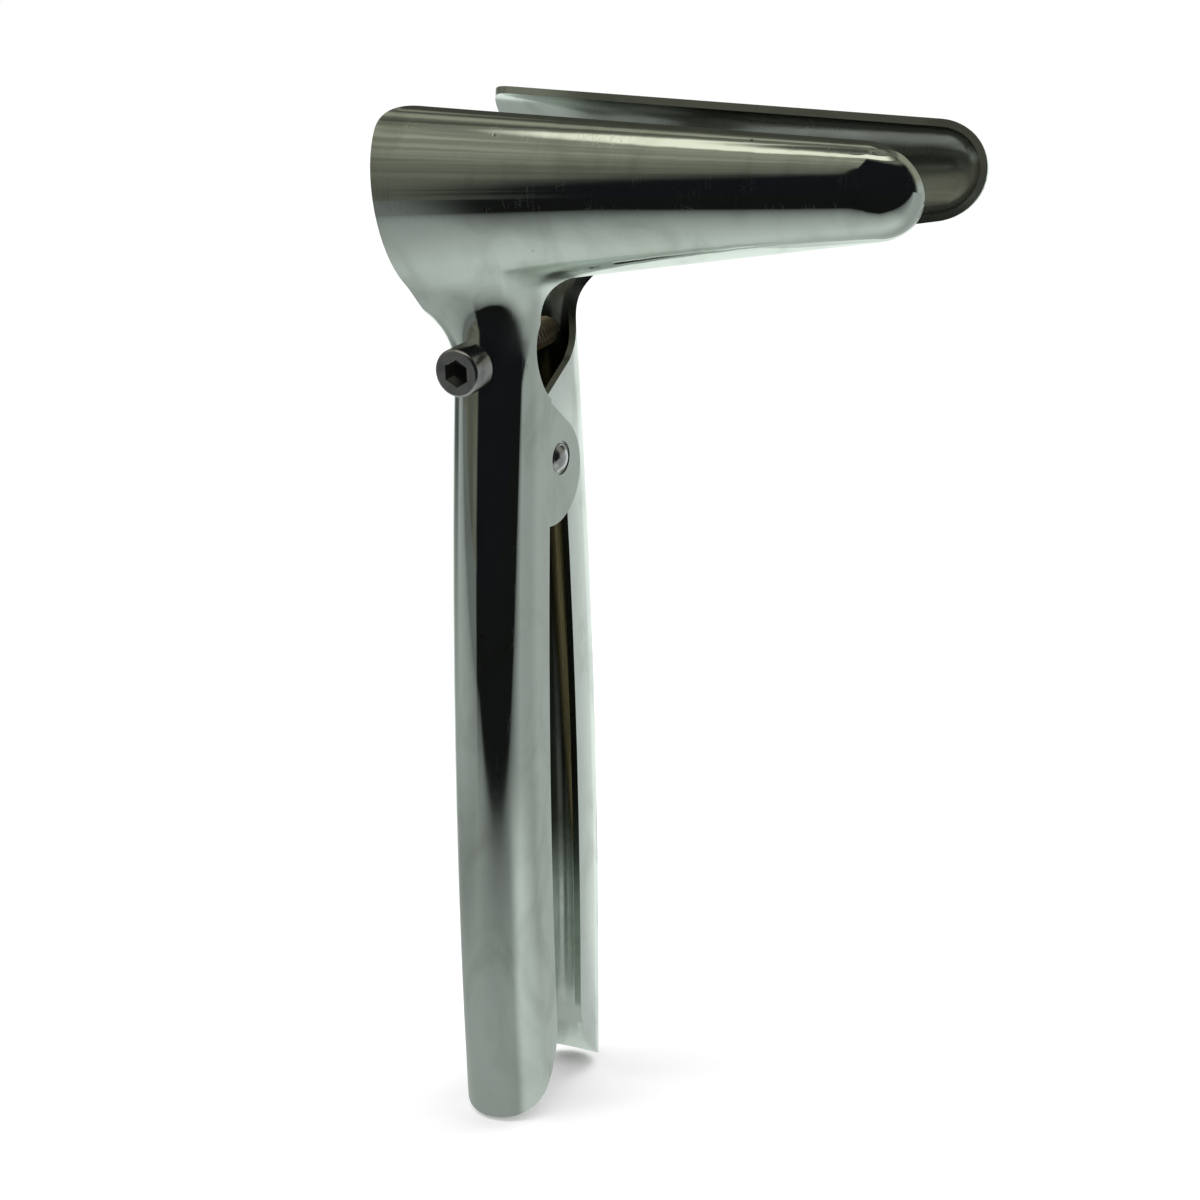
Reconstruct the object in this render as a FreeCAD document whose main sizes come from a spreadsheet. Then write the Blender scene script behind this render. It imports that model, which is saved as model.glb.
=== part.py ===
import FreeCAD, Part
import os
from FreeCAD import Placement, Rotation, Vector

import Sketcher

# Rectal speculum: two formed half shells, each a trough blade, a neck and a channel handle,
# hinged on two rivets, held open by a stop screw and closed by a spring in the handles.
# Frame: the hinge axis is X through the origin, blades point to +X, handles hang to -Z.
# The front half lies to -Y and the rear half to +Y. Rest is blades open on the stop screw.

doc = FreeCAD.newDocument("speculum")

# Driving dimensions
DIMENSIONS = [
    ("wall", 1.2, "sheet thickness of both halves"),
    ("side_play", 0.15, "gap between the front walls and the rear ears inside them"),
    ("parting_gap", 0.3, "gap left between the two rims when the blades are closed"),
    ("open_angle", 13.66, "turn of each half from blades closed, in degrees"),
    ("blade_length", 89.0, "rear rim to tip along the blade axis"),
    ("blade_height", 31.86, "outside height of the blade pair at the rear rim"),
    ("tip_height", 15.58, "outside height of the blade pair where the tip dome starts"),
    ("blade_depth", 10.66, "outside depth of one blade at the rear rim"),
    ("tip_depth", 5.21, "outside depth of one blade where the tip dome starts"),
    ("tip_dome", 7.79, "length of the domed tip"),
    ("rim_corner", 5.5, "rounded corners where the rear rim meets the parting rims"),
    ("blade_setback", 12.87, "rear rim behind the hinge axis plane"),
    ("blade_axis_height", 44.75, "blade axis above the hinge"),
    ("blade_pitch", 4.33, "rise of the blade axis towards the tip, in degrees"),
    ("neck_radius", 13.0, "outside blend from the handle into the blade"),
    ("handle_width", 15.1, "outside width of the front handle"),
    ("handle_depth", 10.94, "outside depth of a handle channel"),
    ("handle_gap", 11.54, "gap between the two handles where they bow furthest apart"),
    ("bow_radius", 942.0, "radius of the long outward bow of the handles"),
    ("bow_level", 66.3, "depth below the hinge where the handles bow furthest apart"),
    ("end_radius", 14.8, "rounding of the lower end of the blank"),
    ("end_start", 98.0, "depth below the hinge where the end rounding starts"),
    ("front_notch_radius", 10.3, "window cut in the front rim above the ears"),
    ("front_notch_bite", 2.5, "depth of the front window cut past the rim"),
    ("front_notch_level", 17.2, "height of the front window cut above the hinge"),
    ("rear_notch_radius", 12.0, "window cut in the rear rim above the ears"),
    ("rear_notch_bite", 4.1, "depth of the rear window cut past the rim"),
    ("rear_notch_level", 22.8, "height of the rear window cut above the hinge"),
    ("front_ear_radius", 9.0, "round ear of the front half"),
    ("front_ear_back", 3.1, "ear centre behind the hinge on the front half"),
    ("front_ear_drop", 1.0, "ear centre below the hinge on the front half"),
    ("front_ear_slope", 38.3, "lean of the ear shoulder on the front half, in degrees"),
    ("rear_ear_radius", 7.0, "round ear of the rear half, about the hinge"),
    ("rear_lobe_radius", 5.9, "upper lobe of the rear ear"),
    ("rear_lobe_reach", 0.6, "upper lobe in front of the hinge on the rear half"),
    ("rear_lobe_rise", 5.0, "upper lobe above the hinge on the rear half"),
    ("rear_ear_slope", 45.0, "lean of the ear shoulder on the rear half, in degrees"),
    ("shoulder_length", 14.0, "straight shoulder above each ear"),
    ("rivet_diameter", 3.0, "rivet shank"),
    ("rivet_play", 0.04, "radial running clearance of the rear half on the rivets"),
    ("rivet_head", 4.9, "domed outer head"),
    ("rivet_dome", 1.0, "height of the domed head"),
    ("rivet_ring", 5.6, "shallow ring pressed into the wall round the head"),
    ("ring_depth", 0.25, "depth of that ring"),
    ("clinch_head", 4.6, "flat head inside the channel"),
    ("clinch_height", 0.7, "thickness of the flat head"),
    ("clinch_gap", 0.1, "gap under the flat head"),
    ("screw_diameter", 4.8, "stop screw thread, outside"),
    ("screw_head", 7.9, "stop screw head"),
    ("head_height", 4.8, "stop screw head height"),
    ("head_bevel", 0.4, "bevel of the head rim"),
    ("key_width", 4.0, "hexagon socket across flats"),
    ("key_depth", 2.6, "hexagon socket depth"),
    ("screw_length", 26.0, "under the head to the tip"),
    ("tip_bevel", 1.5, "cone at the screw tip"),
    ("screw_tip_level", 19.1, "middle of the screw tip above the hinge"),
    ("screw_tilt", 4.0, "rise of the screw towards its tip, in degrees"),
    ("stop_gap", 0.2, "gap between the screw tip and the rear half that it stops"),
    ("thread_play", 0.05, "radial clearance of the screw in its boss"),
    ("boss_diameter", 8.4, "threaded boss inside the front half"),
    ("boss_end", 12.5, "head face to the inner end of the boss"),
    ("spring_width", 2.6, "flat spring width at the bend"),
    ("spring_tip_width", 1.0, "flat spring width at its two tips"),
    ("spring_thickness", 0.8, "flat spring thickness"),
    ("spring_bend", 10.2, "radius of the bend at mid thickness"),
    ("spring_drop", 73.0, "tips below the hinge"),
    ("spring_taper", 38.0, "length of the tapered part of each leg"),
    ("tip_clearance", 0.1, "gap between a spring tip and the handle it bears on"),
]

sheet = doc.addObject("Spreadsheet::Sheet", "sizes")
for row, (alias, value, note) in enumerate(DIMENSIONS, start=1):
    sheet.set("A%d" % row, alias)
    sheet.set("B%d" % row, str(value))
    sheet.set("C%d" % row, note)
    sheet.setAlias("B%d" % row, alias)
doc.recompute()

X_AXIS = Vector(1, 0, 0)
Y_AXIS = Vector(0, 1, 0)
WIDE = 200.0
HALF_WIDE = WIDE / 2


def bind(obj, **expressions):
    """Tie properties of an object to the sheet; two underscores stand for a dot."""
    for name, expression in expressions.items():
        obj.setExpression(name.replace("__", "."), expression.replace("$", "sizes."))
    return obj


def solid(kind, name, turn=None, **expressions):
    """Add a Part primitive, turned about an axis, with its sizes tied to the sheet."""
    obj = doc.addObject("Part::" + kind, name)
    if turn:
        obj.Placement = Placement(Vector(), Rotation(*turn))
    return bind(obj, **expressions)


def join(name, *shapes):
    """Fuse several objects into one."""
    obj = doc.addObject("Part::MultiFuse", name)
    obj.Shapes = list(shapes)
    return obj


def cut(name, base, tool):
    """Take the tool away from the base."""
    obj = doc.addObject("Part::Cut", name)
    obj.Base = base
    obj.Tool = tool
    return obj


def common(name, base, tool):
    """Keep what two objects share."""
    obj = doc.addObject("Part::Common", name)
    obj.Base = base
    obj.Tool = tool
    return obj


def carried(name, obj, axis, **expressions):
    """Carry an object on a placement of its own, turned about one axis."""
    frame = doc.addObject("Part::Compound", name)
    frame.Links = [obj]
    frame.Placement = Placement(Vector(), Rotation(axis, 0))
    return bind(frame, **expressions)


def in_open_frame(name, obj):
    """Turn what is drawn with the blades closed to its place in the open front half."""
    return carried(name, obj, X_AXIS, Placement__Rotation__Angle="$open_angle")


def in_blade_frame(name, obj):
    """Carry what is drawn along the blade axis to the open front half."""
    pitched = carried(
        name + "_pitched", obj, -Y_AXIS,
        Placement__Rotation__Angle="$blade_pitch", Placement__Base__z="$blade_axis_height",
    )
    return in_open_frame(name, pitched)


# Blade mass
def blade_mass(name, inset):
    """Tapered blade of elliptic section, thinned all round by the inset.

    The dome is cut from an ellipsoid whose middle lies behind the end of the taper, so that it
    runs on from the taper with no crease.
    """
    taper = "(($blade_height - $tip_height) / 2 / ($blade_length - $tip_dome))"
    squeeze = "(($blade_depth - $tip_depth) / ($blade_length - $tip_dome))"
    overrun = "2 * $neck_radius"
    dome_start = "($blade_length - $tip_dome - $blade_setback)"
    tip_half = "($tip_height / 2 - %s)" % inset
    dome_reach = "($tip_dome - %s)" % inset
    fall = "(%s / %s)" % (taper, tip_half)
    dome_back = "(%s * %s ^ 2 / (1 - 2 * %s * %s))" % (fall, dome_reach, fall, dome_reach)
    swell = "sqrt(1 - (%s / (%s + %s)) ^ 2)" % (dome_back, dome_back, dome_reach)
    start = solid(
        "Ellipse", name + "_start", turn=(-Y_AXIS, 90),
        Placement__Base__x="-$blade_setback - %s" % overrun,
        MajorRadius="$blade_height / 2 + %s * %s - %s" % (overrun, taper, inset),
        MinorRadius="$blade_depth + %s * %s - %s" % (overrun, squeeze, inset),
    )
    end = solid(
        "Ellipse", name + "_end", turn=(-Y_AXIS, 90),
        Placement__Base__x=dome_start,
        MajorRadius=tip_half,
        MinorRadius="$tip_depth - %s" % inset,
    )
    loft = doc.addObject("Part::Loft", name + "_loft")
    loft.Sections = [start, end]
    loft.Solid = True
    loft.Ruled = True
    egg = solid(
        "Ellipsoid", name + "_egg",
        Radius1="%s / %s" % (tip_half, swell),
        Radius2="%s + %s" % (dome_back, dome_reach),
        Radius3="($tip_depth - %s) / %s" % (inset, swell),
        Placement__Base__x="%s - %s" % (dome_start, dome_back),
    )
    past_taper = large_box(name + "_past_taper", "-%g" % HALF_WIDE, "-%g" % HALF_WIDE, dome_start)
    dome = common(name + "_dome", egg, past_taper)
    return in_blade_frame(name, join(name + "_body", loft, dome))


# Handle mass
def channel_section(name, width, inset):
    """U section of a handle where it bows furthest, half round to -Y, walls run to +Y."""
    sketch = doc.addObject("Sketcher::SketchObject", name)
    start_radius = 7.0
    start_back = -9.0
    start_reach = 20.0
    right = Vector(start_radius, start_back, 0)
    left = Vector(-start_radius, start_back, 0)
    bottom = Vector(0, start_back - start_radius, 0)
    right_end = Vector(start_radius, start_reach, 0)
    left_end = Vector(-start_radius, start_reach, 0)
    wall_right = sketch.addGeometry(Part.LineSegment(right_end, right))
    bend = sketch.addGeometry(Part.Arc(left, bottom, right))
    wall_left = sketch.addGeometry(Part.LineSegment(left, left_end))
    mouth = sketch.addGeometry(Part.LineSegment(left_end, right_end))
    sketch.addConstraint(Sketcher.Constraint("Tangent", wall_right, 2, bend, 2))
    sketch.addConstraint(Sketcher.Constraint("Tangent", bend, 1, wall_left, 1))
    sketch.addConstraint(Sketcher.Constraint("Coincident", wall_left, 2, mouth, 1))
    sketch.addConstraint(Sketcher.Constraint("Coincident", mouth, 2, wall_right, 1))
    sketch.addConstraint(Sketcher.Constraint("Vertical", wall_right))
    sketch.addConstraint(Sketcher.Constraint("Vertical", wall_left))
    sketch.addConstraint(Sketcher.Constraint("Horizontal", mouth))
    sketch.addConstraint(Sketcher.Constraint("PointOnObject", bend, 3, -2))
    sized = [
        ("radius", Sketcher.Constraint("Radius", bend, start_radius),
         "(%s) / 2 - %s" % (width, inset)),
        ("back", Sketcher.Constraint("DistanceY", bend, 3, -1, 1, -start_back),
         "$handle_gap / 2 + $handle_depth - (%s) / 2" % width),
        ("reach", Sketcher.Constraint("DistanceY", -1, 1, mouth, 1, start_reach),
         "2 * $front_ear_radius"),
    ]
    for label, constraint, expression in sized:
        number = sketch.addConstraint(constraint)
        sketch.renameConstraint(number, label)
        sketch.setExpression("Constraints." + label, expression.replace("$", "sizes."))
    return bind(sketch, Placement__Base__z="-$bow_level")


def handle_mass(name, width, inset):
    """Bowed bar of U section, thinned by the inset and run past both ends of the handle."""
    bar = doc.addObject("Part::Revolution", name)
    bar.Source = channel_section(name + "_section", width, inset)
    bar.Axis = X_AXIS
    bar.Solid = True
    bar.Symmetric = True
    return bind(
        bar,
        Base__y="$bow_radius - $handle_gap / 2", Base__z="-$bow_level",
        Angle="2 * asin(($bow_level + 0.9 * $blade_axis_height) / $bow_radius)",
    )


# Neck
def neck_edge(shape):
    """Number of the longest edge where the bowed handle runs into the tapered blade."""
    def handle_side(face):
        return type(face.Surface) is Part.Toroid or face.BoundBox.XLength < sheet.side_play

    def lies_on(edge, faces):
        return any(edge.isSame(other) for face in faces for other in face.Edges)

    handle = [face for face in shape.Faces if handle_side(face)]
    blade = [face for face in shape.Faces if type(face.Surface) is Part.BSplineSurface]
    shared = [
        (edge.Length, number) for number, edge in enumerate(shape.Edges, start=1)
        if lies_on(edge, handle) and lies_on(edge, blade)
    ]
    return max(shared)[1]


def half_mass(name, width, inset, inset_size):
    """Blade and handle in one mass, blended at the neck."""
    joined = join(
        name + "_joined",
        blade_mass(name + "_blade", inset), handle_mass(name + "_handle", width, inset),
    )
    beyond = large_box(name + "_beyond", "3 * $wall", "0.25 * $blade_axis_height")
    rough = cut(name + "_rough", joined, in_open_frame(name + "_beyond_open", beyond))
    rough.Refine = True
    doc.recompute()
    radius = sheet.neck_radius + inset_size
    blend = doc.addObject("Part::Fillet", name)
    blend.Base = rough
    blend.Edges = [(neck_edge(rough.Shape), radius, radius)]
    return blend


# Trimming
def large_box(name, y, z, x="-%g" % HALF_WIDE):
    """Box larger than the part, from one corner."""
    return solid(
        "Box", name, Length="%g" % WIDE, Width="%g" % WIDE, Height="%g" % WIDE,
        Placement__Base__x=x, Placement__Base__y=y, Placement__Base__z=z,
    )


def bar_across(name, radius, y="0", z="0"):
    """Long round bar along X through one point of the side view."""
    return solid(
        "Cylinder", name, turn=(Y_AXIS, 90), Radius=radius, Height="%g" % WIDE,
        Placement__Base__x="-%g" % HALF_WIDE, Placement__Base__y=y, Placement__Base__z=z,
    )


def lobe(name, radius, slope, y, z):
    """Side view of a round ear as a long bar: its disc and its straight shoulder up to the rim."""
    disc = bar_across(name + "_disc", radius, y, z)
    shoulder = solid(
        "Box", name + "_shoulder", turn=(X_AXIS, 0),
        Length="%g" % WIDE, Width=radius, Height="$shoulder_length",
        Placement__Base__x="-%g" % HALF_WIDE, Placement__Base__y=y, Placement__Base__z=z,
        Placement__Rotation__Angle=slope,
    )
    return join(name, disc, shoulder)


def rim_corners(name):
    """Waste that rounds the corners between the rear rim and the parting rims of a blade."""
    corner = solid(
        "Box", name + "_square", Length="$rim_corner", Width="$rim_corner", Height="%g" % WIDE,
        Placement__Base__x="-$blade_setback", Placement__Base__y="-$rim_corner - $parting_gap / 2",
    )
    kept = solid(
        "Cylinder", name + "_kept", Radius="$rim_corner", Height="%g" % WIDE,
        Placement__Base__x="$rim_corner - $blade_setback",
        Placement__Base__y="-$rim_corner - $parting_gap / 2",
    )
    return in_blade_frame(name, cut(name + "_upper", corner, kept))


def side_waste(name, ear):
    """Everything outside the outline of one half in the side view."""
    rim = in_open_frame(name + "_rim_open", large_box(name + "_rim", "-$parting_gap / 2", "0"))
    half = name.split("_")[0]
    notch = bar_across(
        name + "_notch", "$%s_notch_radius" % half,
        "$%s_notch_radius - $%s_notch_bite" % (half, half), "$%s_notch_level" % half,
    )
    wall_edge = bar_across(
        name + "_wall_edge", "$bow_radius", "$bow_radius - $handle_gap / 2", "-$bow_level",
    )
    past_edges = join(
        name + "_past_edges", rim, in_open_frame(name + "_notch_open", notch), wall_edge,
    )
    below = large_box(name + "_below", "-%g" % HALF_WIDE, "-$end_start - %g" % WIDE)
    edge_there = "(-$handle_gap / 2 + ($end_start - $bow_level) ^ 2 / 2 / $bow_radius)"
    tongue = bar_across(
        name + "_tongue", "$end_radius", edge_there + " - $end_radius", "-$end_start",
    )
    behind = large_box(
        name + "_behind", "-%g" % HALF_WIDE, "-0.5 * $blade_axis_height",
        "-$blade_setback - %g" % WIDE,
    )
    return join(
        name, cut(name + "_past_ears", past_edges, ear), cut(name + "_end", below, tongue),
        in_blade_frame(name + "_behind_blade", behind), rim_corners(name + "_corners"),
    )


def formed_half(name, width, ear):
    """Sheet of even thickness formed over the mass, trimmed to the side outline."""
    outer = half_mass(name + "_outer", width, "0", 0.0)
    inner = half_mass(name + "_inner", width, "$wall", sheet.wall)
    shell = cut(name + "_shell", outer, inner)
    return cut(name + "_trimmed", shell, side_waste(name + "_waste", ear))


# Stop screw
def inside_back(drop):
    """Distance from the hinge plane to the inside of a handle's back at a depth below the hinge."""
    return (
        "($handle_gap / 2 + $handle_depth - $wall - (%s - $bow_level) ^ 2 / 2 / $bow_radius)"
        % drop
    )


def along_screw(name, obj):
    """Carry what is drawn along Z from the head face to the line of the stop screw."""
    length = "($head_height + $screw_length)"
    return carried(
        name, obj, X_AXIS, Placement__Rotation__Angle="$screw_tilt - 90",
        Placement__Base__y="%s - $stop_gap - %s * cos($screw_tilt)"
        % (inside_back("-$screw_tip_level"), length),
        Placement__Base__z="$screw_tip_level - %s * sin($screw_tilt)" % length,
    )


def screw_blank(name):
    """Cap screw from the head face at zero to the tip, with its socket and bevels."""
    head = solid("Cylinder", name + "_head", Radius="$screw_head / 2 - $head_bevel",
                 Height="$head_bevel")
    flank = solid("Cylinder", name + "_flank", Radius="$screw_head / 2",
                  Height="$head_height - $head_bevel", Placement__Base__z="$head_bevel")
    crown = solid("Cone", name + "_crown", Radius1="$screw_head / 2 - $head_bevel",
                  Radius2="$screw_head / 2", Height="$head_bevel")
    shank = solid("Cylinder", name + "_shank", Radius="$screw_diameter / 2",
                  Height="$screw_length - $tip_bevel", Placement__Base__z="$head_height")
    tip = solid("Cone", name + "_tip", Radius1="$screw_diameter / 2",
                Radius2="$screw_diameter / 2 - $tip_bevel", Height="$tip_bevel",
                Placement__Base__z="$head_height + $screw_length - $tip_bevel")
    socket = doc.addObject("Part::Prism", name + "_socket")
    socket.Polygon = 6
    bind(socket, Circumradius="$key_width / sqrt(3)", Height="$key_depth")
    return cut(name + "_blank", join(name + "_body", head, flank, crown, shank, tip), socket)


set_screw = along_screw("set_screw", screw_blank("screw"))


# Front half
front_ear = in_open_frame("front_ear", lobe(
    "front_lobe", "$front_ear_radius", "$front_ear_slope", "-$front_ear_back", "-$front_ear_drop",
))
front_plain = formed_half("front", "$handle_width", front_ear)
screw_hole = along_screw("screw_hole", solid(
    "Cylinder", "screw_hole_bar", Radius="$screw_diameter / 2 + $thread_play",
    Height="$boss_end + $head_height",
))
rivet_bar = bar_across("rivet_hole", "$rivet_diameter / 2")
ring_bar = bar_across("ring_bar", "$rivet_ring / 2")
between_rings = solid(
    "Box", "between_rings", Length="$handle_width - 2 * $ring_depth", Width="2 * $rivet_ring",
    Height="2 * $rivet_ring", Placement__Base__x="$ring_depth - $handle_width / 2",
    Placement__Base__y="-$rivet_ring", Placement__Base__z="-$rivet_ring",
)
rings = cut("rings", ring_bar, between_rings)
front_half = cut("front_half", front_plain, join("front_holes", screw_hole, rivet_bar, rings))

# Threaded boss
boss_bar = along_screw("boss_bar", solid(
    "Cylinder", "boss_round", Radius="$boss_diameter / 2", Height="$boss_end",
))
boss_seated = common("boss_seated", boss_bar, doc.getObject("front_inner"))
screw_boss = cut("screw_boss", boss_seated, screw_hole)

# Rear half
rear_lobe = lobe(
    "rear_lobe", "$rear_lobe_radius", "$rear_ear_slope", "$rear_lobe_reach", "$rear_lobe_rise",
)
rear_disc = bar_across("rear_disc", "$rear_ear_radius")
rear_ear = in_open_frame("rear_ear", join("rear_ear_outline", rear_lobe, rear_disc))
rear_plain = formed_half("rear", "$handle_width - 2 * $wall - 2 * $side_play", rear_ear)
rear_drilled = cut(
    "rear_drilled", rear_plain, bar_across("rear_hole", "$rivet_diameter / 2 + $rivet_play"),
)
rear_half = doc.addObject("Part::Mirroring", "rear_half")
rear_half.Source = rear_drilled
rear_half.Normal = Y_AXIS


# Pivot rivets
def round_along_x(name, radius, length, start):
    """Cylinder along X."""
    return solid(
        "Cylinder", name, turn=(Y_AXIS, 90), Radius=radius, Height=length,
        Placement__Base__x=start,
    )


seat = "$handle_width / 2 - $ring_depth"
dome_radius = "(($rivet_head / 2) ^ 2 + $rivet_dome ^ 2) / 2 / $rivet_dome"
dome_ball = solid(
    "Sphere", "dome_ball", Radius=dome_radius,
    Placement__Base__x="%s + $rivet_dome - %s" % (seat, dome_radius),
)
dome = common(
    "dome", dome_ball, round_along_x("dome_blank", "$rivet_head / 2", "$rivet_head", seat),
)
clinch_start = "$handle_width / 2 - 2 * $wall - $side_play - $clinch_gap - $clinch_height"
clinch = round_along_x("clinch", "$clinch_head / 2", "$clinch_height", clinch_start)
rivet_shank = round_along_x(
    "rivet_shank", "$rivet_diameter / 2", "%s - (%s)" % (seat, clinch_start), clinch_start,
)
pivot_rivet_right = join("pivot_rivet_right", dome, clinch, rivet_shank)
pivot_rivet_left = doc.addObject("Part::Mirroring", "pivot_rivet_left")
pivot_rivet_left.Source = pivot_rivet_right
pivot_rivet_left.Normal = X_AXIS


# Handle spring
lean = (
    "asin((%s - $tip_clearance - $spring_bend - $spring_thickness / 2) / $spring_drop)"
    % inside_back("$spring_drop")
)
strip_low = "$spring_bend - $spring_thickness / 2"
strip_high = "$spring_bend + $spring_thickness / 2"
even_strip = solid(
    "Box", "even_strip", Length="$spring_width", Width="$spring_drop - $spring_taper",
    Height="$spring_thickness", Placement__Base__x="-$spring_width / 2",
    Placement__Base__z=strip_low,
)
tapered_strip = solid(
    "Wedge", "tapered_strip",
    Xmin="-$spring_width / 2", Xmax="$spring_width / 2",
    X2min="-$spring_tip_width / 2", X2max="$spring_tip_width / 2",
    Ymin="$spring_drop - $spring_taper", Ymax="$spring_drop",
    Zmin=strip_low, Zmax=strip_high, Z2min=strip_low, Z2max=strip_high,
)
rear_leg = carried(
    "rear_leg", join("leg_strip", even_strip, tapered_strip), X_AXIS,
    Placement__Rotation__Angle="%s - 90 deg" % lean,
)
front_leg = doc.addObject("Part::Mirroring", "front_leg")
front_leg.Source = rear_leg
front_leg.Normal = Y_AXIS
bend_turn = (Vector(1, 1, 1), 120)
bend_sizes = {
    "Height": "$spring_width", "Angle": "180 deg - 2 * %s" % lean,
    "Placement__Base__x": "-$spring_width / 2",
}
bend_outside = solid("Cylinder", "bend_outside", turn=bend_turn, Radius=strip_high, **bend_sizes)
bend_inside = solid("Cylinder", "bend_inside", turn=bend_turn, Radius=strip_low, **bend_sizes)
bend = carried(
    "bend", cut("bend_ring", bend_outside, bend_inside), X_AXIS,
    Placement__Rotation__Angle=lean,
)
handle_spring = join("handle_spring", bend, rear_leg, front_leg)
handle_spring.Refine = True


# Nodes
NODES = [
    front_half, rear_half, pivot_rivet_right, pivot_rivet_left, set_screw, screw_boss,
    handle_spring,
]
doc.recompute()
for obj in doc.Objects:
    if "Invalid" in obj.State or "Error" in obj.State:
        raise RuntimeError("%s failed: %s" % (obj.Name, obj.State))
os.makedirs("parts", exist_ok=True)
for node in NODES:
    node.Label = node.Name
    shape = node.Shape
    if shape.isNull() or not shape.isValid() or not shape.Solids:
        raise RuntimeError("%s has no valid solid" % node.Label)
    shape.exportStep("parts/%s.step" % node.Label)
    box = shape.BoundBox
    print(
        "%-18s %d solid, %9.2f mm3, X %.2f %.2f, Y %.2f %.2f, Z %.2f %.2f"
        % (node.Label, len(shape.Solids), shape.Volume,
           box.XMin, box.XMax, box.YMin, box.YMax, box.ZMin, box.ZMax)
    )
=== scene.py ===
"""Rectal speculum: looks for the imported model, laid out as an add-on and run as a script."""

from math import cos, degrees, pi, radians, sin, sqrt

import bmesh
import bpy
import numpy
from bpy.props import FloatProperty, FloatVectorProperty, IntProperty, PointerProperty
from mathutils import Matrix, Vector


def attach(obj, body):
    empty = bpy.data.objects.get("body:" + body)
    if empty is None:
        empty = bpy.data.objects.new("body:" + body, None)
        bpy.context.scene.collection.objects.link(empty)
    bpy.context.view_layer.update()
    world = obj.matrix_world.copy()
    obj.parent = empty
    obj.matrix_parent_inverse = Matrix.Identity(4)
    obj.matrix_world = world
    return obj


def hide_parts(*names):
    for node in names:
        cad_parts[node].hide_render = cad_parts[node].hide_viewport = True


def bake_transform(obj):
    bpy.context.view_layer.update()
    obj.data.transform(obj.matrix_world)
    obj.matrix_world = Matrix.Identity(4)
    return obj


bl_info = {
    "name": "Rectal Speculum",
    "version": (1, 0, 0),
    "blender": (4, 5, 0),
    "location": "3D View > Sidebar > Speculum",
    "description": "Dresses a two-valve rectal speculum with polished steel and a threaded screw",
    "category": "Object",
}

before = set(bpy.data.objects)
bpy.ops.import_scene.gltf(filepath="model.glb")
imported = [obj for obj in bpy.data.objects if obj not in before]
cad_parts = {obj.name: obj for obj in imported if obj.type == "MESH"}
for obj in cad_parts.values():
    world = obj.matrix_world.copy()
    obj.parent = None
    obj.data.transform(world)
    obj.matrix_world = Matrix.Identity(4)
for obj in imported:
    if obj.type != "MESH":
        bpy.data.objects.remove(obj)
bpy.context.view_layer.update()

MM = 0.001
X_AXIS = Vector((1, 0, 0))
Z_AXIS = Vector((0, 0, 1))

MERGE_CAD = 0.002 * MM
MERGE_PIECE = 0.0005 * MM
FIT_LIMIT = radians(12)

HEAD_FACE = Vector((0, -19.286 * MM, 16.951 * MM))
SCREW_TILT = radians(4)
PLAIN_SHANK = 1.2 * MM
RIVET_PROFILE = (
    (4.2, 0.0), (4.2, 2.1), (4.4, 2.3), (4.9, 2.3), (4.9, 1.5), (7.3, 1.5), (7.3, 2.4),
    (7.46, 2.42), (7.58, 2.3), (7.5, 2.08), (7.66, 1.9), (7.94, 1.6), (8.14, 1.2),
    (8.24, 0.8), (8.29, 0.4), (8.3, 0.0),
)
SPRING_LEAN = radians(3.759)
SPRING_WIDTH = 2.6 * MM
SPRING_EVEN = 35.0 * MM
SPRING_TAPERED = 38.0 * MM

TABLE_HEIGHT = -0.1128
BLACK = (0.0, 0.0, 0.0)
WHITE = (1.0, 1.0, 1.0)


# Settings
def length(name, description, millimetres):
    """Setting for a length."""
    return FloatProperty(
        name=name, description=description, default=millimetres * MM, unit="LENGTH",
    )


def share(name, description, default):
    """Setting between 0 and 1."""
    return FloatProperty(name=name, description=description, default=default, min=0.0, max=1.0)


def tint(name, description, *default):
    """Setting for a colour."""
    return FloatVectorProperty(
        name=name, description=description, default=default, subtype="COLOR", size=3,
        min=0.0, max=1.0,
    )


class SpeculumSizes(bpy.types.PropertyGroup):
    """Sizes of the small parts that are modelled here."""

    neck_height: length("Neck height", "Where the handles begin to open into the blades", 12.0)
    blade_height: length("Blade height", "Middle of the blades above the hinge", 43.5)
    sharp_angle: FloatProperty(
        name="Sharp angle", description="Edges bent more than this keep a crease",
        default=radians(32), subtype="ANGLE",
    )
    head_radius: length("Head radius", "Radius of the stop screw head", 3.95)
    head_height: length("Head height", "Height of the stop screw head", 4.8)
    head_bevel: length("Head bevel", "Bevel round the head face", 0.4)
    key_width: length("Key width", "Hexagon socket across flats", 4.0)
    key_depth: length("Key depth", "Depth of the hexagon socket", 2.6)
    thread_radius: length("Thread radius", "Crest radius of the screw thread", 2.38)
    thread_depth: length("Thread depth", "Crest to root of the screw thread", 0.55)
    thread_pitch: length("Thread pitch", "Advance of the thread in one turn", 1.058)
    screw_length: length("Screw length", "Stop screw from under its head to its tip", 26.0)
    tip_bevel: length("Tip bevel", "Cone at the screw tip", 1.5)
    spring_radius: length("Spring bend", "Radius of the spring bend at mid thickness", 10.2)
    spring_thickness: length("Spring thickness", "Thickness of the spring strip", 0.8)
    segments: IntProperty(
        name="Segments", description="Facets round each turned part", default=96, min=24,
    )


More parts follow.
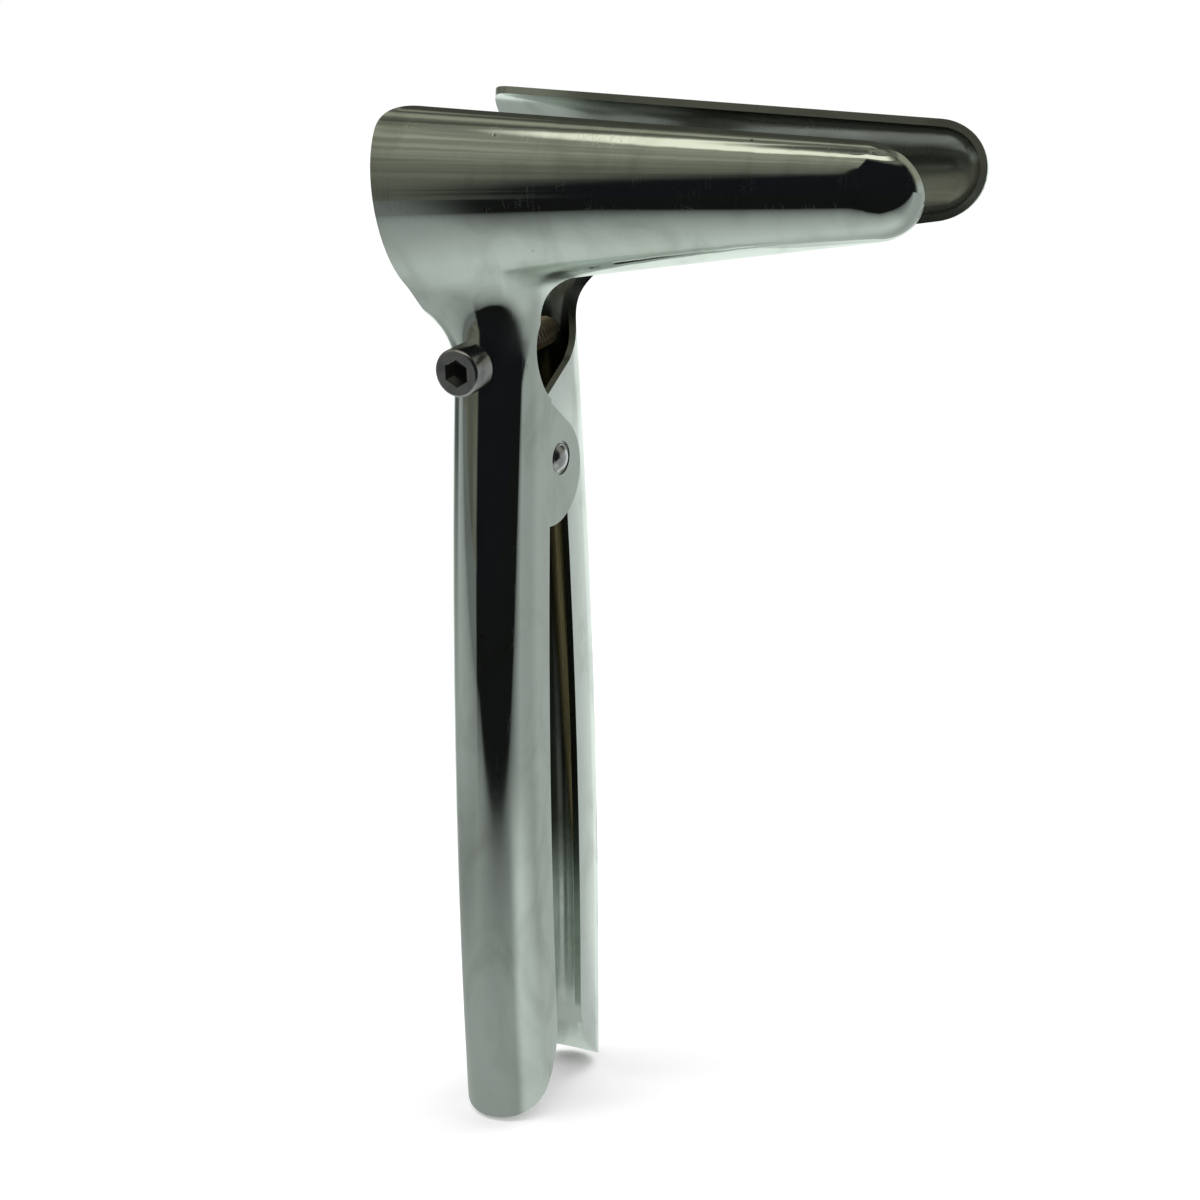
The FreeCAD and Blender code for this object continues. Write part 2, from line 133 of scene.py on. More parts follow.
class SpeculumFinish(bpy.types.PropertyGroup):
    """Colours and gloss of the metals."""

    steel: tint("Polished steel", "Reflection colour of the polished sheet", 0.72, 0.78, 0.73)
    # Painted light: the rear sheet colour is the polished steel made lighter.
    rear: tint("Rear sheet", "Reflection colour of the outside of the rear half", 0.86, 0.92, 0.88)
    # Trough and channel colours are the steel painted dark, as painted shade inside the blades and
    # handles.
    shaded_trough: tint("Blade inside", "Reflection colour of the inside of the blades", 0.34, 0.36, 0.33)
    channel: tint("Handle inside", "Reflection colour of the inside of the handles", 0.15, 0.16, 0.14)
    rivet: tint("Rivet steel", "Reflection colour of the pivot rivets", 0.6, 0.61, 0.61)
    screw: tint("Screw steel", "Reflection colour of the stop screw", 0.42, 0.42, 0.42)
    thread: tint("Thread", "Reflection colour of the worn thread", 0.5, 0.43, 0.3)
    # Painted shade: the socket colour is near black for the shade inside the hex recess.
    socket: tint("Key socket", "Reflection colour of the oiled socket in the head", 0.03, 0.03, 0.028)
    spring: tint("Spring", "Reflection colour of the spring strip", 0.45, 0.38, 0.2)
    polish: share("Polish", "Roughness of the mirror-polished sheet", 0.045)
    satin: share("Satin", "Roughness of the outside of the rear half", 0.2)
    haze: share("Haze", "Roughness where hands have dulled the front handle", 0.3)


# Shader maths
class Value:
    """Wraps a socket so that shader maths can be written as Python."""

    def __init__(self, graph, socket):
        self.graph = graph
        self.socket = socket

    def math(self, operation, *others):
        return self.graph.node(
            "ShaderNodeMath", {"operation": operation}, dict(enumerate((self,) + others)),
        )

    def __add__(self, other):
        return self.math("ADD", other)

    def __sub__(self, other):
        return self.math("SUBTRACT", other)

    def __mul__(self, other):
        return self.math("MULTIPLY", other)

    def __truediv__(self, other):
        return self.math("DIVIDE", other)

    def __rsub__(self, other):
        return self.graph.node("ShaderNodeMath", {"operation": "SUBTRACT"}, {0: other, 1: self})

    __radd__ = __add__
    __rmul__ = __mul__


class Graph:
    """Builds nodes in the tree of one material or world."""

    def __init__(self, tree):
        self.tree = tree
        tree.nodes.clear()

    def node(self, kind, settings=None, inputs=None, output=0):
        """Add a node, set it up, feed its inputs and wrap one output."""
        made = self.tree.nodes.new(kind)
        for name, value in (settings or {}).items():
            setattr(made, name, value)
        for key, value in (inputs or {}).items():
            socket = made.inputs[key]
            if isinstance(value, Value):
                self.tree.links.new(value.socket, socket)
            elif socket.type == "RGBA" and len(value) == 3:
                socket.default_value = (*value, 1.0)
            else:
                socket.default_value = value
        return Value(self, made.outputs[output]) if made.outputs else None

    def mix(self, factor, first, second):
        """Mix two colours."""
        return self.node(
            "ShaderNodeMix", {"data_type": "RGBA"},
            {"Factor": factor, 6: first, 7: second}, output=2,
        )

    def rise(self, value, low, high):
        """Smooth step from 0 at low to 1 at high."""
        return self.node(
            "ShaderNodeMapRange", {"interpolation_type": "SMOOTHSTEP"},
            {"Value": value, "From Min": low, "From Max": high},
        )

    def line(self, value, low, high):
        """Straight ramp from 0 at low to 1 at high."""
        return self.node(
            "ShaderNodeMapRange", None, {"Value": value, "From Min": low, "From Max": high},
        )

    def noise(self, vector, scale, detail=3.0, distortion=0.0):
        return self.node(
            "ShaderNodeTexNoise", None,
            {"Vector": vector, "Scale": scale, "Detail": detail, "Distortion": distortion},
        )

    def stretched(self, vector, scale):
        """Coordinates stretched by a scale for each axis."""
        return self.node("ShaderNodeMapping", None, {"Vector": vector, "Scale": scale})

    def parts(self, vector):
        """X, Y and Z of a vector."""
        split = self.tree.nodes.new("ShaderNodeSeparateXYZ")
        self.tree.links.new(vector.socket, split.inputs[0])
        return [Value(self, output) for output in split.outputs]


def metal(name, build):
    """Material of one metal, whose build function gives colour, roughness and height."""
    material = bpy.data.materials.new(name)
    material.use_nodes = True
    graph = Graph(material.node_tree)
    place = graph.node("ShaderNodeTexCoord", None, None, output=3)
    colour, roughness, height, relief = build(graph, place)
    bump = graph.node(
        "ShaderNodeBump", None, {"Height": height, "Distance": relief, "Strength": 1.0},
    )
    surface = graph.node(
        "ShaderNodeBsdfPrincipled", None,
        {"Base Color": colour, "Roughness": roughness, "Metallic": 1.0, "Normal": bump},
    )
    graph.node("ShaderNodeOutputMaterial", None, {"Surface": surface})
    return material


def scratches(graph, place, scale, turn, share):
    """Sparse hairline scratches: 1 on a line, 0 elsewhere."""
    turned = graph.node(
        "ShaderNodeMapping", None, {"Vector": place, "Rotation": turn, "Scale": scale},
    )
    cells = graph.node(
        "ShaderNodeTexVoronoi", {"feature": "DISTANCE_TO_EDGE"},
        {"Vector": turned, "Scale": 1.0},
    )
    line = 1 - graph.rise(cells, 0.0, 0.012)
    patch = graph.rise(graph.noise(place, 260.0, 1.0), 1 - share, 1.02 - share)
    return line * patch


def polished_sheet(graph, place):
    """Mirror-polished front sheet: hairlines, pits and a dulled lower handle, its front painted
    darker as painted shade and its side wall painted lighter as painted light.
    """
    finish = bpy.context.scene.speculum_finish
    x, y, z = graph.parts(place)
    low = 1 - graph.rise(z, -0.075, -0.035)
    side = graph.rise(x, 0.0046, 0.0062)
    # This mask sets both the hand-dulled roughness and painted shade: the lower handle front is
    # painted darker.
    dulled = low * (1 - side)
    smears = graph.noise(graph.stretched(place, (1.0, 1.0, 0.5)), 110.0, 4.0, 1.2)
    steel_and_painted_light = graph.mix(dulled, tuple(finish.steel), tuple(0.6 * part for part in finish.steel))
    # Painted light: the lower side wall (+X) is painted lighter.
    steel_and_painted_light = graph.mix(low * side, steel_and_painted_light, tuple(1.1 * part for part in finish.steel))
    haze = finish.haze * dulled * (0.35 + 0.6 * smears)
    fillet = graph.rise(x, 0.003, 0.008) * (1 - graph.rise(x, 0.02, 0.032))
    fillet = fillet * graph.rise(z, 0.017, 0.022) * (1 - graph.rise(z, 0.031, 0.035))
    haze = haze + 0.3 * fillet
    return marked_steel(graph, place, steel_and_painted_light, finish.polish + haze, smears)


def lit_rear_sheet(graph, place):
    """Rear sheet, less bright than a mirror on its outside, its colour painted lighter than the front
    steel as painted light.
    """
    finish = bpy.context.scene.speculum_finish
    smears = graph.noise(graph.stretched(place, (1.0, 1.0, 0.5)), 110.0, 4.0, 1.2)
    return marked_steel(graph, place, tuple(finish.rear), finish.satin + 0.1 * smears, smears)


def shaded_inner_sheet(graph, place):
    """Unpolished inside of both halves, painted dark as painted shade, with painted light towards its
    open ends.
    """
    finish = bpy.context.scene.speculum_finish
    x, y, z = graph.parts(place)
    smears = graph.noise(graph.stretched(place, (0.6, 1.0, 1.0)), 140.0, 4.0, 1.2)
    blade = graph.rise(z, 0.02, 0.034)
    # Painted light: the inside turns back to bright steel at the open ends of the blades and at the
    # handle feet.
    lit_rim = blade * (1 - graph.rise(x, -0.004, 0.006))
    lit_foot = 1 - graph.rise(z, -0.086, -0.068)
    shade = graph.mix(blade, tuple(finish.channel), tuple(finish.shaded_trough))
    shade = graph.mix(lit_rim + lit_foot * 0.8, shade, tuple(finish.steel))
    return marked_steel(graph, place, shade, 0.14 + 0.12 * smears, smears)


def marked_steel(graph, place, steel_and_painted_light, roughness, smears):
    """Steel with smears, hairline scratches and small pits."""
    lines = scratches(graph, place, (900.0, 900.0, 60.0), (0.3, 0.5, 0.2), 0.42)
    nicks = scratches(graph, place, (140.0, 520.0, 520.0), (0.1, 0.9, 0.4), 0.36)
    spots = graph.node(
        "ShaderNodeTexVoronoi", {"feature": "F1"}, {"Vector": place, "Scale": 170.0},
    )
    pits = (1 - graph.rise(spots, 0.035, 0.06)) * graph.rise(graph.noise(place, 60.0), 0.55, 0.6)
    film = (0.82, 0.82, 0.8)
    worn = graph.node(
        "ShaderNodeMix", {"data_type": "RGBA", "blend_type": "MULTIPLY"},
        {"Factor": graph.rise(smears, 0.4, 0.75), 6: steel_and_painted_light, 7: film}, output=2,
    )
    colour = graph.mix(pits * 0.7, worn, (0.16, 0.17, 0.15))
    height = -0.02 * lines - 0.02 * nicks - 0.05 * pits
    return colour, roughness + 0.02 * graph.rise(smears, 0.45, 0.7) + 0.1 * lines, height, 0.05 * MM


def turned_steel(colour_name, roughness_base):
    """Plain turned steel with fine rings and handling marks."""
    def build(graph, place):
        base = tuple(getattr(bpy.context.scene.speculum_finish, colour_name))
        grain = graph.noise(graph.stretched(place, (1.0, 8.0, 1.0)), 900.0, 4.0)
        marks = graph.noise(place, 420.0, 3.0)
        dark = tuple(0.7 * part for part in base)
        colour = graph.mix(graph.rise(marks, 0.45, 0.8), base, dark)
        roughness = roughness_base + 0.12 * marks
        return colour, roughness, grain * 0.3 + marks * 0.2, 0.006 * MM
    return build


def drawn_strip(graph, place):
    """Dull yellow spring strip with long drawing lines."""
    base = tuple(bpy.context.scene.speculum_finish.spring)
    streaks = graph.noise(graph.stretched(place, (2600.0, 60.0, 24.0)), 1.0, 3.0)
    stains = graph.noise(place, 180.0, 3.0)
    dark = tuple(0.45 * part for part in base)
    colour = graph.mix(graph.rise(streaks, 0.4, 0.7), base, dark)
    return colour, 0.24 + 0.2 * stains, streaks, 0.02 * MM


# Mesh helpers
def finished(bm, name, material, body, node, made_here=True):
    """Turn a bmesh into a piece that rides on a body and stands for a CAD node."""
    bmesh.ops.remove_doubles(bm, verts=bm.verts, dist=MERGE_PIECE)
    if made_here:
        bmesh.ops.recalc_face_normals(bm, faces=bm.faces)
    sharp = bpy.context.scene.speculum_sizes.sharp_angle
    for edge in bm.edges:
        edge.smooth = len(edge.link_faces) != 2 or edge.calc_face_angle() < sharp
    for face in bm.faces:
        face.smooth = True
    mesh = bpy.data.meshes.new(name)
    bm.to_mesh(mesh)
    bm.free()
    mesh.materials.append(material)
    piece = bpy.data.objects.new(name, mesh)
    bpy.context.scene.collection.objects.link(piece)
    if body:
        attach(piece, body)
    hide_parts(node)
    return piece


def smoothed(mesh):
    """Take each corner normal from a curved patch fitted through the vertices round it."""
    creased = {end for edge in mesh.edges if edge.use_edge_sharp for end in edge.vertices}
    near = [set() for vert in mesh.vertices]
    for edge in mesh.edges:
        first, second = edge.vertices
        near[first].add(second)
        near[second].add(first)
    normals = {}
    for vert in mesh.vertices:
        if vert.index in creased:
            continue
        patch = set(near[vert.index])
        for other in near[vert.index] - creased:
            patch |= near[other]
        patch.discard(vert.index)
        normals[vert.index] = patch_normal(vert, [mesh.vertices[other].co for other in patch])
    corners = [
        normals.get(loop.vertex_index, corner.vector.copy())
        for corner, loop in zip(mesh.corner_normals, mesh.loops)
    ]
    mesh.normals_split_custom_set(corners)


def patch_normal(vert, places):
    """Normal at a vertex of the quadratic patch that fits the places round it best.

    Where the mesh is too coarse for its curve the fit turns far, and the vertex normal stays.
    """
    side = vert.normal.orthogonal().normalized()
    up = vert.normal.cross(side)
    rows, heights = [], []
    for place in places:
        step = (place - vert.co) / MM
        x, y, weight = step.dot(side), step.dot(up), 1 / max(step.length, 0.01)
        rows.append([weight * term for term in (x, y, x * x, x * y, y * y)])
        heights.append(weight * step.dot(vert.normal))
    slope = numpy.linalg.lstsq(numpy.array(rows), numpy.array(heights), rcond=1e-4)[0]
    fitted = (vert.normal - side * float(slope[0]) - up * float(slope[1])).normalized()
    return fitted if fitted.dot(vert.normal) > cos(FIT_LIMIT) else vert.normal.copy()


def copy_of(node):
    """Merged bmesh copy of a CAD node."""
    bm = bmesh.new()
    bm.from_mesh(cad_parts[node].data)
    bmesh.ops.remove_doubles(bm, verts=bm.verts, dist=MERGE_CAD)
    return bm


def ring(bm, radius, z, segments):
    """Circle of edges about the Z axis."""
    made = bmesh.ops.create_circle(
        bm, cap_ends=False, radius=radius, segments=segments, matrix=Matrix.Translation((0, 0, z)),
    )
    return loop_edges(made["verts"])


def loop_edges(verts):
    members = set(verts)
    edges = {edge for vert in verts for edge in vert.link_edges}
    return [edge for edge in edges if members.issuperset(edge.verts)]


def raised(bm, edges, z, scale=1.0):
    """Extrude a loop of edges about the Z axis to a height, scaled about the axis."""
    made = bmesh.ops.extrude_edge_only(bm, edges=edges)["geom"]
    verts = [part for part in made if isinstance(part, bmesh.types.BMVert)]
    for vert in verts:
        vert.co = Vector((vert.co.x * scale, vert.co.y * scale, z))
    return loop_edges(verts)


def capped(bm, edges):
    """Close a loop of edges with one face."""
    bmesh.ops.edgeloop_fill(bm, edges=edges)


# Half shells
class SPECULUM_OT_halves(bpy.types.Operator):
    """Dress both formed halves in polished steel"""

    bl_idname = "speculum.halves"
    bl_label = "Half Shells"

    def execute(self, context):
        inside = metal("inner_steel", shaded_inner_sheet)
        for node, body, outside in (
            ("front_half", "front", metal("front_steel", polished_sheet)),
            ("rear_half", "rear", metal("rear_steel", lit_rear_sheet)),
        ):
            piece = finished(
                copy_of(node), node + "_shell", outside, body, node, False,
            )
            smoothed(piece.data)
            piece.data.materials.append(inside)
            for polygon in piece.data.polygons:
                if polygon.normal.dot(self.middle(polygon.center) - polygon.center) > 0:
                    polygon.material_index = 1
        return {"FINISHED"}

    def middle(self, point):
        """Nearest place on the centre line of the handles, or of the blades above them."""
        sizes = bpy.context.scene.speculum_sizes
        if point.z < sizes.neck_height:
            return Vector((0, 0, point.z))
        return Vector((point.x, 0, sizes.blade_height))


# Stop screw
class SPECULUM_OT_stop_screw(bpy.types.Operator):
    """Turn the socket-head stop screw and roll its thread"""

    bl_idname = "speculum.stop_screw"
    bl_label = "Stop Screw"

    def execute(self, context):
        sizes = context.scene.speculum_sizes
        key_radius = sizes.key_width / sqrt(3)
        bm = bmesh.new()
        made = bmesh.ops.create_circle(bm, cap_ends=False, radius=key_radius, segments=6)
        hexagon = loop_edges(made["verts"])
        bmesh.ops.subdivide_edges(bm, edges=hexagon, cuts=sizes.segments // 6 - 1)
        hexagon = list(bm.edges)
        face = ring(bm, sizes.head_radius - sizes.head_bevel, 0, sizes.segments)
        bmesh.ops.bridge_loops(bm, edges=hexagon + face)
        socket = raised(bm, hexagon, sizes.key_depth)
        drilled = raised(bm, socket, sizes.key_depth, 0.8)
        capped(bm, raised(bm, drilled, sizes.key_depth + 0.5 * MM, 0.1))
        self.body(bm, face, sizes)
        self.thread(bm, sizes)
        aim = Matrix.Rotation(SCREW_TILT - pi / 2, 4, "X")
        bmesh.ops.transform(bm, matrix=Matrix.Translation(HEAD_FACE) @ aim, verts=bm.verts)
        steel = metal("screw_steel", turned_steel("screw", 0.14))
        worn = metal("screw_thread", turned_steel("thread", 0.26))
        # The socket material is near black as painted shade in the hex recess.
        oiled = metal("screw_socket", turned_steel("socket", 0.3))
        piece = finished(bm, "stop_screw", steel, "screw", "set_screw")
        piece.data.materials.append(worn)
        piece.data.materials.append(oiled)
        piece.visible_glossy = False
        along = (aim.to_3x3() @ Z_AXIS).normalized()
        for polygon in piece.data.polygons:
            step = polygon.center - HEAD_FACE
            depth = step.dot(along)
            if depth > sizes.head_height + PLAIN_SHANK:
                polygon.material_index = 1
            elif depth > 0.01 * MM and (step - depth * along).length < key_radius:
                polygon.material_index = 2
        return {"FINISHED"}

    def body(self, bm, face, sizes):
        """Head flank, plain neck, thread core and tip, one loop after another."""
        radius = sizes.head_radius - sizes.head_bevel
        steps = (
            (0.45 * sizes.head_bevel, sizes.head_radius - 0.3 * sizes.head_bevel),
            (sizes.head_bevel, sizes.head_radius),
            (sizes.head_height - 0.25 * MM, sizes.head_radius),
            (sizes.head_height, sizes.head_radius - 0.25 * MM),
            (sizes.head_height, sizes.thread_radius),
            (sizes.head_height + 1.0 * MM, sizes.thread_radius),
            (sizes.head_height + 1.3 * MM, sizes.thread_radius - sizes.thread_depth),
            (
                sizes.head_height + sizes.screw_length - sizes.tip_bevel + 0.5 * MM,
                sizes.thread_radius - sizes.thread_depth,
            ),
            (sizes.head_height + sizes.screw_length, 0.9 * MM),
        )
        loop = face
        for z, wanted in steps:
            loop = raised(bm, loop, z, wanted / radius)
            radius = wanted
        capped(bm, loop)

    def thread(self, bm, sizes):
        """V ridge wound round the core."""
        per_turn = 32
        start = sizes.head_height + PLAIN_SHANK
        threaded = sizes.screw_length - PLAIN_SHANK - sizes.tip_bevel
        root = sizes.thread_radius - sizes.thread_depth - 0.08 * MM
        half = 0.46 * sizes.thread_pitch
        crest = 0.09 * sizes.thread_pitch
        corners = [
            bm.verts.new((root, 0, start)),
            bm.verts.new((sizes.thread_radius, 0, start + half - crest)),
            bm.verts.new((sizes.thread_radius, 0, start + half + crest)),
            bm.verts.new((root, 0, start + 2 * half)),
        ]
        profile = bm.faces.new(corners)
        turns = threaded / sizes.thread_pitch - 1
        steps = int(turns * per_turn)
        bmesh.ops.spin(
            bm, geom=[profile, *profile.edges, *profile.verts], cent=(0, 0, 0), axis=Z_AXIS,
            dvec=(0, 0, sizes.thread_pitch / per_turn), angle=2 * pi * steps / per_turn,
            steps=steps, use_merge=False,
        )


# Boss
class SPECULUM_OT_boss(bpy.types.Operator):
    """Finish the threaded boss inside the front half"""

    bl_idname = "speculum.boss"
    bl_label = "Screw Boss"

    def execute(self, context):
        steel = metal("boss_steel", turned_steel("screw", 0.3))
        boss = copy_of("screw_boss")
        finished(boss, "boss", steel, "front", "screw_boss", False)
        return {"FINISHED"}


# Rivets
class SPECULUM_OT_rivets(bpy.types.Operator):
    """Turn the two pivot rivets with their set heads"""

    bl_idname = "speculum.rivets"
    bl_label = "Pivot Rivets"

    def execute(self, context):
        steel = metal("rivet_steel", turned_steel("rivet", 0.1))
        for side, mirrored in (("right", 1), ("left", -1)):
            bm = bmesh.new()
            verts = [bm.verts.new((x * MM, r * MM, 0)) for x, r in RIVET_PROFILE]
            edges = [bm.edges.new(pair) for pair in zip(verts, verts[1:])]
            bmesh.ops.spin(
                bm, geom=verts + edges, cent=(0, 0, 0), axis=X_AXIS, angle=2 * pi,
                steps=context.scene.speculum_sizes.segments // 2, use_merge=True,
            )
            bmesh.ops.scale(bm, vec=(mirrored, 1, 1), verts=bm.verts)
            finished(bm, "rivet_" + side, steel, "front", "pivot_rivet_" + side)
        return {"FINISHED"}


# Spring
class SPECULUM_OT_spring(bpy.types.Operator):
    """Bend the flat spring and taper its legs"""

    bl_idname = "speculum.spring"
    bl_label = "Handle Spring"

    def execute(self, context):
        sizes = context.scene.speculum_sizes
        half_width = SPRING_WIDTH / 2
        low = sizes.spring_radius - sizes.spring_thickness / 2
        high = sizes.spring_radius + sizes.spring_thickness / 2
        bm = bmesh.new()
        outward = Vector((0, cos(SPRING_LEAN), sin(SPRING_LEAN)))
        corners = [
            bm.verts.new(outward * radius + X_AXIS * side)
            for radius, side in (
                (low, -half_width), (high, -half_width), (high, half_width), (low, half_width),
            )
        ]
        start = bm.faces.new(corners)
        made = bmesh.ops.spin(
            bm, geom=[start, *start.edges, *start.verts], cent=(0, 0, 0), axis=X_AXIS,
            angle=pi - 2 * SPRING_LEAN, steps=28, use_merge=False,
        )
        last = [part for part in made["geom_last"] if isinstance(part, bmesh.types.BMFace)][0]
        for end, side in ((start, 1), (last, -1)):
            self.leg(bm, end, Vector((0, side * sin(SPRING_LEAN), -cos(SPRING_LEAN))))
        corners = [edge for edge in bm.edges if edge.is_manifold and edge.calc_face_angle() > 0.6]
        bmesh.ops.bevel(
            bm, geom=corners, offset=0.12 * MM, segments=2, profile=0.5, affect="EDGES",
            material=-1,
        )
        strip = metal("spring_metal", drawn_strip)
        piece = finished(bm, "spring_strip", strip, None, "handle_spring")
        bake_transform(piece)
        return {"FINISHED"}

    def leg(self, bm, end, down):
        """Run one leg down from an end of the bend: even first, then tapered."""
        steps = 8
        for number in range(2 * steps):
            made = bmesh.ops.extrude_discrete_faces(bm, faces=[end])
            end = made["faces"][0]
            run = SPRING_EVEN if number < steps else SPRING_TAPERED
            bmesh.ops.translate(bm, vec=down * run / steps, verts=end.verts)
            if number >= steps:
                before = 1.3 - 0.8 * (number - steps) / steps
                after = 1.3 - 0.8 * (number - steps + 1) / steps
                bmesh.ops.scale(bm, vec=(after / before, 1, 1), verts=end.verts)


# Stage
class SPECULUM_OT_stage(bpy.types.Operator):
    """Set up the pale table, the light and the camera"""

    bl_idname = "speculum.stage"
    bl_label = "Stage"

    def execute(self, context):
        self.table()
        self.room(context.scene)
        self.lamps(context.scene)
        self.camera(context.scene)
        context.scene.view_settings.view_transform = "Standard"
        return {"FINISHED"}

    def table(self):
        """White sheet under the object, which the metal sees dimmer towards its front edge."""
        bm = bmesh.new()
        bmesh.ops.create_grid(bm, x_segments=1, y_segments=1, size=1.0)
        bmesh.ops.translate(bm, vec=(0.0, 0.5, TABLE_HEIGHT), verts=bm.verts)
        mesh = bpy.data.meshes.new("table")
        bm.to_mesh(mesh)
        bm.free()
        table = bpy.data.objects.new("table", mesh)
        bpy.context.scene.collection.objects.link(table)
        material = bpy.data.materials.new("table_white")
        material.use_nodes = True
        graph = Graph(material.node_tree)
        place = graph.node("ShaderNodeTexCoord", None, None, output=3)
        x, y, z = graph.parts(place)
        edge = -0.29 + 0.12 * graph.line(x, -0.1, 0.03) + 0.02 * graph.line(x, 0.03, 0.08)
        near = graph.line((y - edge) / (-0.04 - edge), 0.0, 1.0)
        front = 0.6 * near.math("POWER", 0.6)
        front = front * (1 - 0.35 * graph.rise(x * -1.0, 0.05, 0.11))
        front = front * (1 - 0.4 * graph.rise(x, 0.1, 0.2))
        left = 0.44 - 0.36 * graph.line(x * -1.0, 0.05, 0.65)
        around = self.azimuth(x, y)
        front = front + 0.15 * (1 - near) * (1 - graph.rise(around, -29, -24.5))
        right = 0.34 + 0.08 * graph.rise(around, 112, 140) + 0.5 * graph.rise(around, 153, 163)
        rear = graph.rise(y, -0.05, 0.06)
        sides = left + (right - left) * graph.rise(x, -0.03, 0.03)
        sides = sides + (0.98 - sides) * (1 - graph.rise(around, -128, -112))
        level = 0.008 + front + (sides - front) * rear
        tone = graph.mix(level, BLACK, (0.98, 1.04, 1.0))
        shown = graph.node("ShaderNodeEmission", None, {"Color": tone})
        matt = graph.node("ShaderNodeBsdfDiffuse", None, {"Color": WHITE})
        glossy = graph.node("ShaderNodeLightPath", output="Is Glossy Ray")
        surface = graph.node("ShaderNodeMixShader", None, {0: glossy, 1: matt, 2: shown})
        graph.node("ShaderNodeOutputMaterial", None, {"Surface": surface})
        mesh.materials.append(material)

    def azimuth(self, x, y):
        """Degrees round the object from the front, positive towards the blade tips."""
        return x.math("ARCTAN2", y * -1.0) * degrees(1)

    def room(self, scene):
        """White all round for the camera and the soft light; a dim room in front for the metal."""
        world = bpy.data.worlds.new("room")
        world.use_nodes = True
        scene.world = world
        graph = Graph(world.node_tree)
        look = graph.node("ShaderNodeTexCoord", None, None, output=0)
        x, y, z = graph.parts(look)
        # Both in degrees: round the object from the front, and above the horizon
        around = self.azimuth(x, y)
        height = z.math("ARCSINE") * degrees(1)
        swirl = graph.noise(graph.stretched(look, (2.4, 2.4, 6.0)), 1.0, 2.0, 1.6)
        lines = 0.78 + 0.44 * graph.rise(swirl, 0.35, 0.65)
        olive = (0.13 + 0.17 * graph.rise(height, 2, 44)) * lines
        olive = olive - 0.16 * graph.rise(height, 50, 55)
        side_glow = graph.rise(around, -118, -106) * (1 - graph.rise(around, -98, -84))
        olive = olive + 0.24 * side_glow * graph.rise(height, 30, 50)
        right = graph.rise(around, 90, 110)
        olive = olive + (0.3 - olive) * right * (1 - graph.rise(height, 56, 64))
        behind = (1 - graph.rise(around, -132, -122)) + graph.rise(around, 146, 158)
        low = 1 - graph.rise(height, -2, 8)
        back = 0.06 + 0.92 * low
        level = olive + (back - olive) * behind
        tone = graph.mix(level, BLACK, (1.0, 1.0, 0.8))
        tone = graph.mix(right * (1 - graph.rise(height, 0, 16)), tone, (0.41, 0.43, 0.42))
        tone = graph.mix(behind * low, tone, (0.95, 1.02, 1.0))
        turned = around + 31.5
        away = height - (48.0 + 0.275 * turned.math("ABSOLUTE") - 0.155 * turned)
        wide = 7.0 * graph.rise(around, -36, -22)
        cream = graph.rise(away, -4, -1.5) * (1 - graph.rise(away - wide, 1.5, 4))
        cream = cream * graph.rise(around, -72, -58) * (1 - graph.rise(around, 30, 70))
        top = -4.0 + 12.0 * graph.rise(around, -27, -21) + 42.0 * graph.rise(around, -22, -13)
        dark = graph.rise(around + 8.0 * (swirl - 0.5), -29, -24)
        dark = dark * (1 - graph.rise(around, 88, 112))
        dark = dark * (1 - graph.rise(height - top, -9, 9))
        tone = graph.mix(dark, tone, (0.007, 0.008, 0.01))
        tone = graph.mix(cream, tone, (1.05, 1.02, 0.86))
        glossy = graph.node("ShaderNodeLightPath", output="Is Glossy Ray")
        colour = graph.mix(glossy, WHITE, tone)
        background = graph.node("ShaderNodeBackground", None, {"Color": colour})
        graph.node("ShaderNodeOutputWorld", None, {"Surface": background})

    def lamps(self, scene):
        """One soft panel high on the left and one behind."""
        for name, place, size, power in (
            ("key_panel", (-0.35, -0.3, 0.55), 0.35, 1.2),
            ("back_panel", (0.3, 0.6, 0.5), 0.5, 1.5),
        ):
            light = bpy.data.lights.new(name, "AREA")
            light.size = size
            light.energy = power
            lamp = bpy.data.objects.new(name, light)
            lamp.location = place
            lamp.rotation_euler = (-Vector(place)).to_track_quat("-Z", "Y").to_euler()
            lamp.visible_glossy = False
            scene.collection.objects.link(lamp)

    def camera(self, scene):
        """Camera where the photograph was taken from."""
        turn, rise, roll = radians(29.402), radians(16.055), radians(-0.994)
        back = Vector((sin(turn) * cos(rise), -cos(turn) * cos(rise), sin(rise)))
        right = Vector((cos(turn), sin(turn), 0))
        up = back.cross(right)
        across = cos(roll) * right + sin(roll) * up
        upward = -sin(roll) * right + cos(roll) * up
        place = (12.926 * across - 24.007 * upward + 491.377 * back) * MM
        lens = bpy.data.cameras.new("camera")
        lens.lens = 90
        lens.sensor_width = 36
        lens.clip_start = 0.01
        camera = bpy.data.objects.new("camera", lens)
        axes = Matrix((across, upward, back)).transposed().to_4x4()
        camera.matrix_world = Matrix.Translation(place) @ axes
        scene.collection.objects.link(camera)
        scene.camera = camera


# Panel
class SPECULUM_PT_sidebar(bpy.types.Panel):
    """Buttons and settings of the speculum"""

    bl_label = "Speculum"
    bl_idname = "SPECULUM_PT_sidebar"
    bl_space_type = "VIEW_3D"
    bl_region_type = "UI"
    bl_category = "Speculum"

    def draw(self, context):
        for settings in (context.scene.speculum_sizes, context.scene.speculum_finish):
            box = self.layout.box()
            for name in settings.__annotations__:
                box.prop(settings, name)
        for operator in OPERATORS:
            self.layout.operator(operator.bl_idname)


OPERATORS = (
    SPECULUM_OT_stage,
    SPECULUM_OT_halves,
    SPECULUM_OT_stop_screw,
    SPECULUM_OT_boss,
    SPECULUM_OT_rivets,
    SPECULUM_OT_spring,
)
CLASSES = (SpeculumSizes, SpeculumFinish, *OPERATORS, SPECULUM_PT_sidebar)


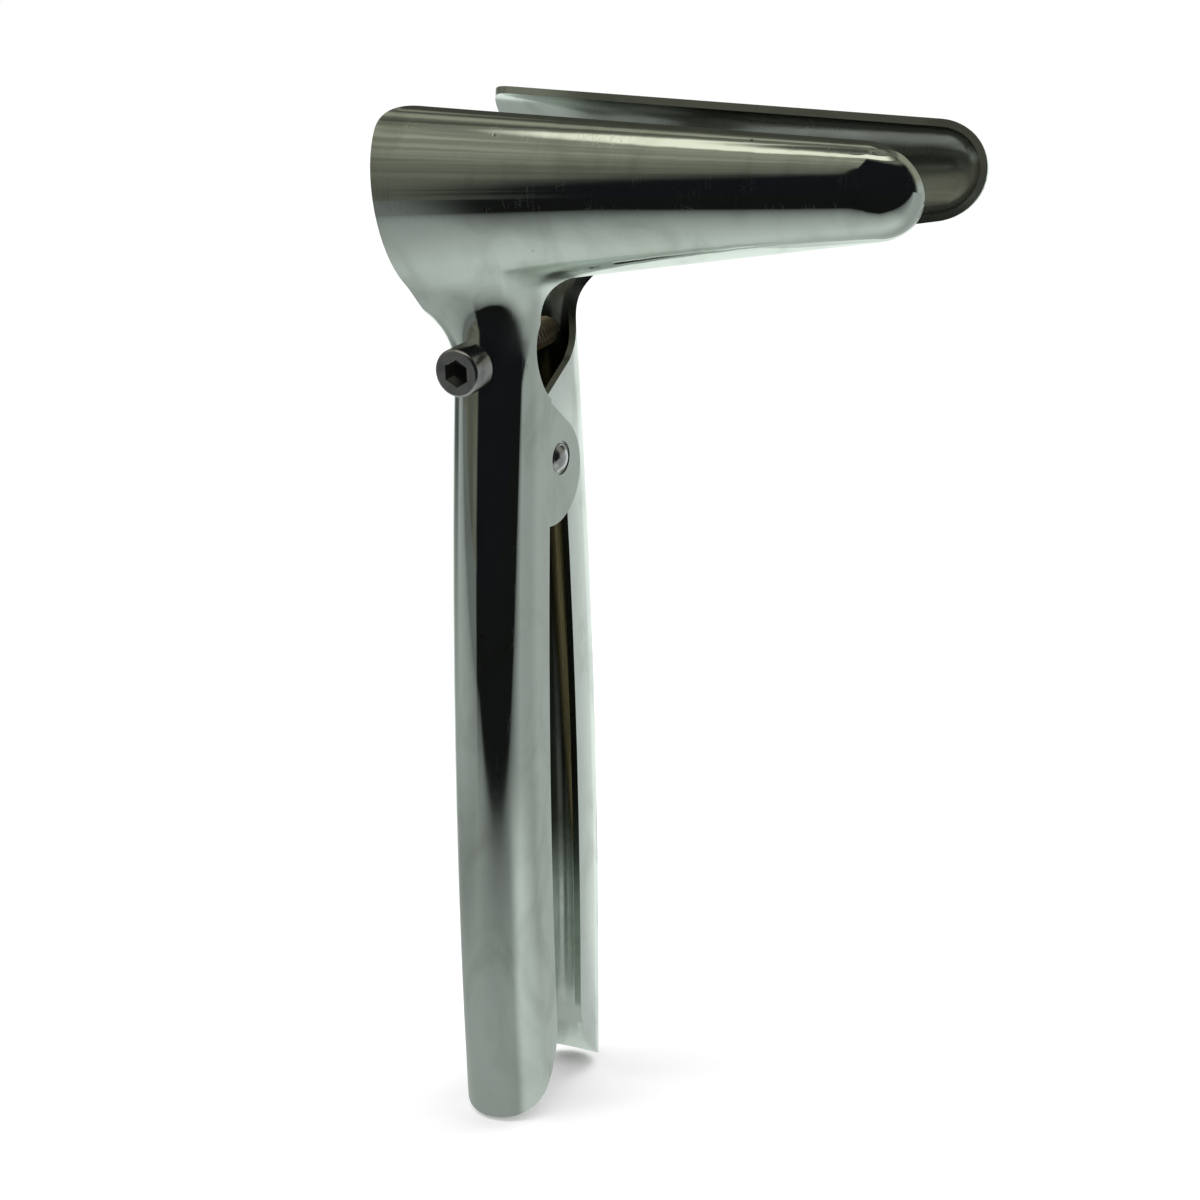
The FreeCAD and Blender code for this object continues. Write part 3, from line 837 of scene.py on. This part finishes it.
def register():
    for cls in CLASSES:
        bpy.utils.register_class(cls)
    bpy.types.Scene.speculum_sizes = PointerProperty(type=SpeculumSizes)
    bpy.types.Scene.speculum_finish = PointerProperty(type=SpeculumFinish)


def unregister():
    del bpy.types.Scene.speculum_finish
    del bpy.types.Scene.speculum_sizes
    for cls in reversed(CLASSES):
        bpy.utils.unregister_class(cls)


def main():
    register()
    for name in ("stage", "halves", "stop_screw", "boss", "rivets", "spring"):
        getattr(bpy.ops.speculum, name)()


if __name__ == "__main__":
    main()
